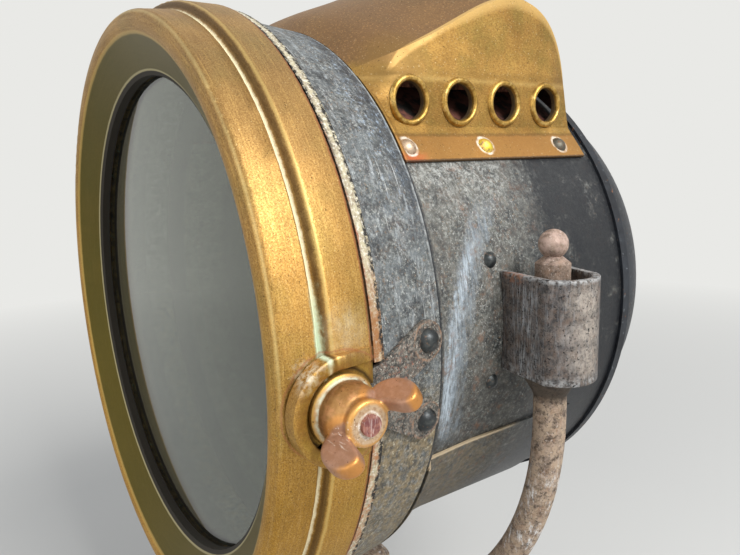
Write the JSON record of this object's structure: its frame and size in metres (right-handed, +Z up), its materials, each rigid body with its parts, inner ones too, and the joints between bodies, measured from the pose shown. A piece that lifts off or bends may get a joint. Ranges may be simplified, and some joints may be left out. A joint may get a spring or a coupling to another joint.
{
  "type": "brass gas headlamp with forked bracket",
  "caption": "Round gas headlamp with a hinged brass glass door, black drum, vented brass hood and burner, held at its sides by a forked bracket.",
  "frame": {"origin": "on the axis of the fork's shank, halfway along it", "axes": "+Z up along the shank, the lens looks along -Y, the glass door's hinge is at -X"},
  "size_m": [0.2881, 0.24, 0.3734],
  "materials": {
    "fork": "rusty forged iron",
    "ball_nut": "rusty steel",
    "socket": "worn dark casting",
    "socket_rivets": "worn black paint",
    "front_rim": "bare rusty edge",
    "body_paint": "worn black paint",
    "back_cap": "gloss black paint",
    "aged_brass": "aged brass",
    "bright_brass": "rolled brass",
    "hood_rivets": "brass",
    "baffle": "rusty sheet",
    "latch_plate": "rusty steel",
    "latch_stud": "peened steel",
    "latch_rivets": "dark steel",
    "wing_nut": "aged bronze",
    "hinge": "aged brass",
    "hinge_pin": "steel",
    "mirror": "silvered glass",
    "mirror_ring": "dull sheet",
    "burner": "dull brass",
    "gas_cock": "aged brass",
    "lens_glass": "clear plate glass",
    "glass_ring": "dark sheet"
  },
  "bodies": {
    "lamp": {"fork": "fork", "finial_right": "ball_nut", "finial_left": "ball_nut", "socket_right": "socket", "socket_left": "socket", "socket_rivets": "socket_rivets", "front_rim": "front_rim", "skirt": "body_paint", "drum": "body_paint", "back_cap": "back_cap", "belly_sheet": "body_paint", "hood": "aged_brass", "hood_eyelets": "bright_brass", "hood_rivets": "hood_rivets", "chimney_baffle": "baffle", "latch_plate": "latch_plate", "latch_stud": "latch_stud", "latch_rivets": "latch_rivets", "wing_nut": "wing_nut", "body_hinge_leaf": "hinge", "hinge_pin": "hinge_pin", "mirror": "mirror", "mirror_ring": "mirror_ring", "burner": "burner", "gas_cock": "gas_cock"},
    "door": {"bezel": "aged_brass", "glass": "lens_glass", "glass_ring": "glass_ring", "door_hinge_leaf": "hinge"}
  },
  "joints": [
    {"name": "door_hinge", "type": "hinge", "parent": "lamp", "child": "door", "pos_m": [-0.133, -0.079, 0.207], "axis": [0, 0, -1], "range_deg": [0, 110]}
  ]
}
